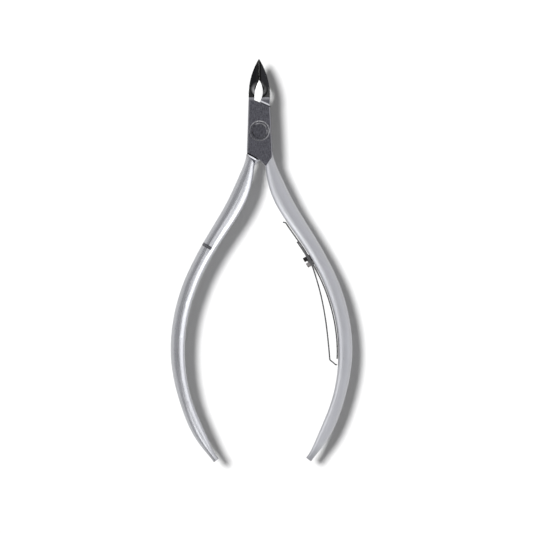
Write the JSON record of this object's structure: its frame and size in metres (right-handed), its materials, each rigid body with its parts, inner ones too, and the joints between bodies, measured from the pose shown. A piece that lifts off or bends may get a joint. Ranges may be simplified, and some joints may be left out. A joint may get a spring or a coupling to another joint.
{
  "type": "cuticle nipper",
  "caption": "Lap-jointed cuticle nipper with pointed half jaws, long bowed grips and a swing-away leaf spring on one grip.",
  "frame": {"origin": "on the pivot axis at the back face of the joint, which is the face that the nipper lies on", "axes": "+Y from the pivot to the jaw tips, +Z through the thickness towards the front face, +X towards the grip that carries the spring"},
  "size_m": [0.0496, 0.11, 0.006],
  "materials": {
    "satin_steel": "satin",
    "ground_steel": "fine ground",
    "spring_steel": "bright",
    "black_screw": "black oxide"
  },
  "bodies": {
    "front": {"front_lever": "satin_steel", "pivot_bush": "ground_steel", "pivot_screw": "ground_steel", "spring_screw": "black_screw", "spring_washer": "black_screw"},
    "rear": {"rear_lever": "satin_steel"},
    "spring": {"spring_inner_leaf": "spring_steel", "spring_outer_leaf": "spring_steel"}
  },
  "joints": [
    {"name": "lap_hinge", "type": "hinge", "parent": "front", "child": "rear", "pos_m": [0, 0, 0.003], "axis": [0, 0, -1], "range_deg": [0, 20]},
    {"name": "spring_swivel", "type": "hinge", "parent": "front", "child": "spring", "pos_m": [0.01394, -0.03516, 0.003], "axis": [-0.8715, -0.4905, 0], "range_deg": [0, 155]}
  ]
}
